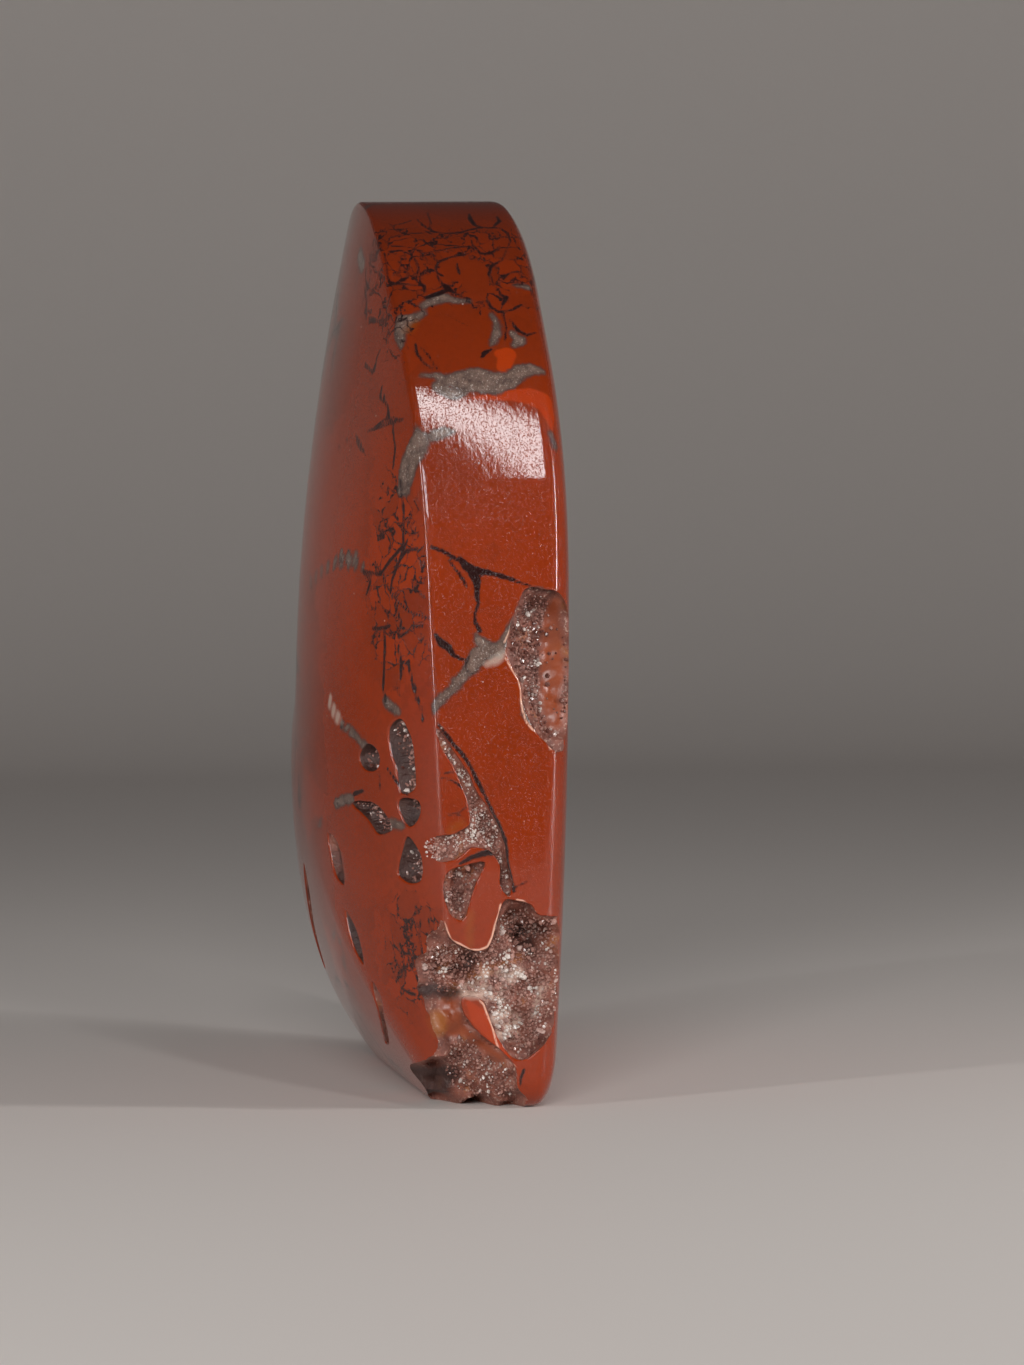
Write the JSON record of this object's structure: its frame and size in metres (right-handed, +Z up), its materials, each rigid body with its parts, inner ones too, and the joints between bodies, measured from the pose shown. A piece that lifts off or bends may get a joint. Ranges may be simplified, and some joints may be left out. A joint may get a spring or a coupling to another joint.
{
  "type": "red brecciated jasper heart",
  "caption": "Heart-shaped polished palm stone of red brecciated jasper, standing on one straight side, with a flat rim band, domed faces and druzy hollows at its broken tip.",
  "frame": {"origin": "on the table, under the middle of the stone's box", "axes": "+Z up, +X out of the near straight side with the hollows, -Y out of the domed front face"},
  "size_m": [0.0727, 0.0202, 0.0738],
  "materials": {
    "polished_jasper": "polished red brecciated jasper with grey chalcedony veins",
    "quartz_druse": "small sparkling quartz crystals over brown stone"
  },
  "bodies": {
    "root": {"heart": "polished_jasper", "side_druse": "quartz_druse", "corner_druse": "quartz_druse", "tip_druse": "quartz_druse", "base_druse": "quartz_druse"}
  },
  "joints": []
}
